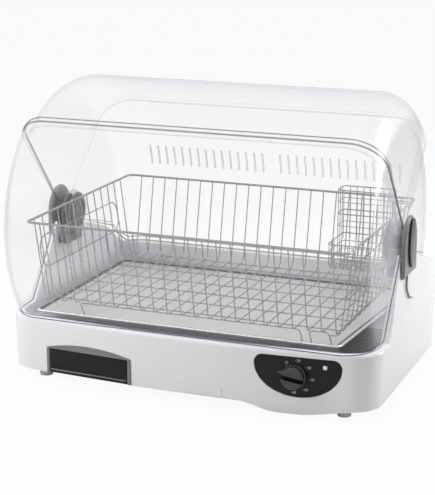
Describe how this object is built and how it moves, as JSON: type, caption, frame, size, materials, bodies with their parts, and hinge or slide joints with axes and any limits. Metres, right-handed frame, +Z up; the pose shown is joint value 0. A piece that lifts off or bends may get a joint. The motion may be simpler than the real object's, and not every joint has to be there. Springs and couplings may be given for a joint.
{
  "type": "dish_dryer",
  "caption": "Electric tabletop dish dryer: white moulded base with timer dial and water drawer, steel drip tray, wire dish and cutlery baskets, clear telescoping hood",
  "frame": {"origin": "on the floor under the middle of the closed dryer", "axes": "X across the dryer to the right of someone facing it, Y from front to back, Z up"},
  "size_m": [0.5516, 0.4086, 0.4135],
  "materials": {
    "white_plastic": "glossy moulded",
    "clear_plastic": "clear polished",
    "grey_plastic": "satin",
    "black_plastic": "satin black",
    "stainless_sheet": "brushed",
    "chromed_wire": "polished wire",
    "zinc_steel": "zinc plated",
    "lamp_lens": "milky lens"
  },
  "bodies": {
    "base": {"base_housing": "white_plastic", "bottom_cover": "white_plastic", "foot_front_left": "white_plastic", "foot_front_right": "white_plastic", "foot_rear_left": "white_plastic", "foot_rear_right": "white_plastic", "bottom_screw_1": "zinc_steel", "bottom_screw_2": "zinc_steel", "bottom_screw_3": "zinc_steel", "bottom_screw_4": "zinc_steel", "rear_cover": "clear_plastic", "hub_bracket_left": "grey_plastic", "hub_bracket_right": "grey_plastic", "pivot_pin_left": "grey_plastic", "pivot_pin_right": "grey_plastic", "hub_disc_left": "grey_plastic", "hub_disc_right": "grey_plastic", "hub_cover_left": "grey_plastic", "hub_cover_right": "grey_plastic", "hub_badge_left": "black_plastic", "hub_badge_right": "black_plastic", "drawer_bezel": "grey_plastic", "control_panel": "black_plastic", "timer_unit": "zinc_steel", "pilot_lamp": "lamp_lens", "blower_scroll": "grey_plastic", "fan_motor": "zinc_steel", "heater_unit": "zinc_steel", "thermal_fuse": "zinc_steel", "air_duct": "grey_plastic", "air_outlet_grille": "grey_plastic", "terminal_block": "white_plastic", "cord_gland": "black_plastic", "intake_filter": "grey_plastic"},
    "top_cover_body": {"top_cover": "clear_plastic"},
    "front_cover_body": {"front_cover": "clear_plastic"},
    "knob_body": {"timer_knob": "grey_plastic", "timer_shaft": "zinc_steel"},
    "drawer_body": {"water_drawer": "black_plastic"},
    "fan_body": {"fan_impeller": "black_plastic", "fan_shaft": "zinc_steel"},
    "tray_body": {"drip_tray": "stainless_sheet"},
    "dish_basket_body": {"dish_basket": "chromed_wire"},
    "cutlery_basket_body": {"cutlery_basket": "chromed_wire"}
  },
  "joints": [
    {"name": "top_cover_pivot", "type": "hinge", "parent": "base", "child": "top_cover_body", "pos_m": [0, 0.005, 0.209], "axis": [-1, 0, 0], "range_deg": [0, 64]},
    {"name": "front_cover_pivot", "type": "hinge", "parent": "top_cover_body", "child": "front_cover_body", "pos_m": [0, 0.005, 0.209], "axis": [-1, 0, 0], "range_deg": [0, 83]},
    {"name": "timer_knob_turn", "type": "hinge", "parent": "base", "child": "knob_body", "pos_m": [0.16405, -0.17047, 0.059], "axis": [-0.0779, 0.997, 0], "range_deg": [0, 265]},
    {"name": "water_drawer_slide", "type": "slide", "parent": "base", "child": "drawer_body", "axis": [0, -1, 0], "range_m": [0, 0.11]},
    {"name": "fan_spin", "type": "hinge", "parent": "base", "child": "fan_body", "pos_m": [0.14, 0.045, 0.05], "axis": [0, 0, 1], "continuous": true},
    {"name": "drip_tray_lift", "type": "slide", "parent": "base", "child": "tray_body", "axis": [0, 0, 1], "range_m": [0, 0.008]},
    {"name": "dish_basket_lift", "type": "slide", "parent": "tray_body", "child": "dish_basket_body", "axis": [0, 0, 1], "range_m": [0, 0.02]},
    {"name": "cutlery_basket_lift", "type": "slide", "parent": "dish_basket_body", "child": "cutlery_basket_body", "axis": [0, 0, 1], "range_m": [0, 0.012]}
  ]
}
